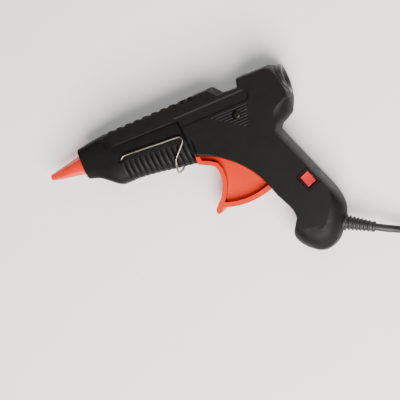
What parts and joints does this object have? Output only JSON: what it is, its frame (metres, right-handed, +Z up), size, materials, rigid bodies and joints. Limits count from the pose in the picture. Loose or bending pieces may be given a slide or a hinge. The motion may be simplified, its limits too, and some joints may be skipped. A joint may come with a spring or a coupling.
{
  "type": "glue gun",
  "caption": "Corded hot-melt glue gun with a sprung trigger, folding wire stand, rocker switch and silicone-covered nozzle, lying on its side.",
  "frame": {"origin": "on the surface that the gun's right side rests on, under the middle of its box without the cord", "axes": "+X along the barrel from the nozzle tip to the rear, +Y towards the gun's top, +Z up, out of the gun's left side"},
  "size_m": [0.3402, 0.1752, 0.0304],
  "materials": {
    "housing_abs": "black ABS, moulded satin",
    "orange_silicone": "orange heat-resistant silicone rubber",
    "orange_plastic": "orange moulded plastic, satin gloss",
    "red_plastic": "red moulded plastic, glossy",
    "black_nylon": "black nylon, moulded",
    "natural_nylon": "natural nylon, moulded",
    "bright_wire": "bright nickel-plated spring wire",
    "bright_steel": "ground steel",
    "spring_steel": "spring steel, plain",
    "zinc_steel": "zinc-plated steel",
    "brass": "machined brass",
    "cast_aluminium": "die-cast aluminium",
    "ceramic": null,
    "insulating_cloth": "varnished glass-fibre wrap",
    "white_silicone": "natural silicone rubber",
    "cord_rubber": "black flexible PVC, matt",
    "brown_wire": "brown insulated wire",
    "blue_wire": "blue insulated wire"
  },
  "bodies": {
    "housing": {"left_shell": "housing_abs", "right_shell": "housing_abs", "nozzle_cover": "orange_silicone", "nozzle": "brass", "melt_chamber": "cast_aluminium", "ptc_heater": "ceramic", "contact_plate_upper": "brass", "contact_plate_lower": "brass", "heater_insulation": "insulating_cloth", "heater_clamp": "spring_steel", "inlet_sleeve": "white_silicone", "sleeve_clip": "spring_steel", "inlet_ring": "black_nylon", "trigger_pivot": "bright_steel", "switch_body": "black_nylon", "switch_terminal_1": "brass", "switch_terminal_2": "brass", "crimp_1": "natural_nylon", "crimp_2": "natural_nylon", "strain_relief": "cord_rubber", "cord_inner": "cord_rubber", "cord_clamp": "natural_nylon", "clamp_screw_1": "zinc_steel", "clamp_screw_2": "zinc_steel", "housing_screw_left": "zinc_steel", "housing_screw_right_1": "zinc_steel", "housing_screw_right_2": "zinc_steel", "housing_screw_right_3": "zinc_steel", "wire_live": "brown_wire", "wire_load": "brown_wire", "wire_neutral": "blue_wire", "return_spring": "spring_steel", "cord_lead": "cord_rubber", "cord_coil": "cord_rubber", "cord_tail": "cord_rubber", "plug_body": "cord_rubber", "plug_pin_1": "brass", "plug_pin_2": "brass"},
    "trigger": {"trigger": "orange_plastic"},
    "carriage": {"feed_carriage": "natural_nylon", "jaw_pin": "bright_steel"},
    "jaw": {"grip_jaw": "bright_steel"},
    "valve": {"valve_ball": "bright_steel", "valve_spring": "spring_steel"},
    "stand": {"wire_stand": "bright_wire"},
    "rocker": {"switch_rocker": "red_plastic"}
  },
  "joints": [
    {"name": "trigger_hinge", "type": "hinge", "parent": "housing", "child": "trigger", "pos_m": [0.03605, 0.03855, 0.015], "axis": [0, 0, 1], "range_deg": [0, 26], "stiffness_Nm_per_rad": 0.35, "springref_deg": -11.46},
    {"name": "carriage_slide", "type": "slide", "parent": "housing", "child": "carriage", "axis": [-1, 0, 0], "range_m": [0, 0.0072]},
    {"name": "jaw_hinge", "type": "hinge", "parent": "carriage", "child": "jaw", "pos_m": [0.03075, 0.04555, 0.015], "axis": [0, 0, 1], "range_deg": [-6.3, 0]},
    {"name": "valve_slide", "type": "slide", "parent": "housing", "child": "valve", "axis": [-1, 0, 0], "range_m": [0, 0.0008], "stiffness_N_per_m": 60, "springref_m": -0.001},
    {"name": "stand_hinge", "type": "hinge", "parent": "housing", "child": "stand", "pos_m": [-0.03845, 0.04555, 0.015], "axis": [0, 0, 1], "range_deg": [-95, 0]},
    {"name": "rocker_hinge", "type": "hinge", "parent": "housing", "child": "rocker", "pos_m": [0.08245, -0.01665, 0.028], "axis": [0.9291, 0.3697, 0], "range_deg": [0, 18]}
  ],
  "couplings": [
    {"joint": "carriage_slide", "follows": "trigger_hinge", "m_per_rad": 0.015263},
    {"joint": "jaw_hinge", "follows": "trigger_hinge", "ratio": -0.23077}
  ]
}
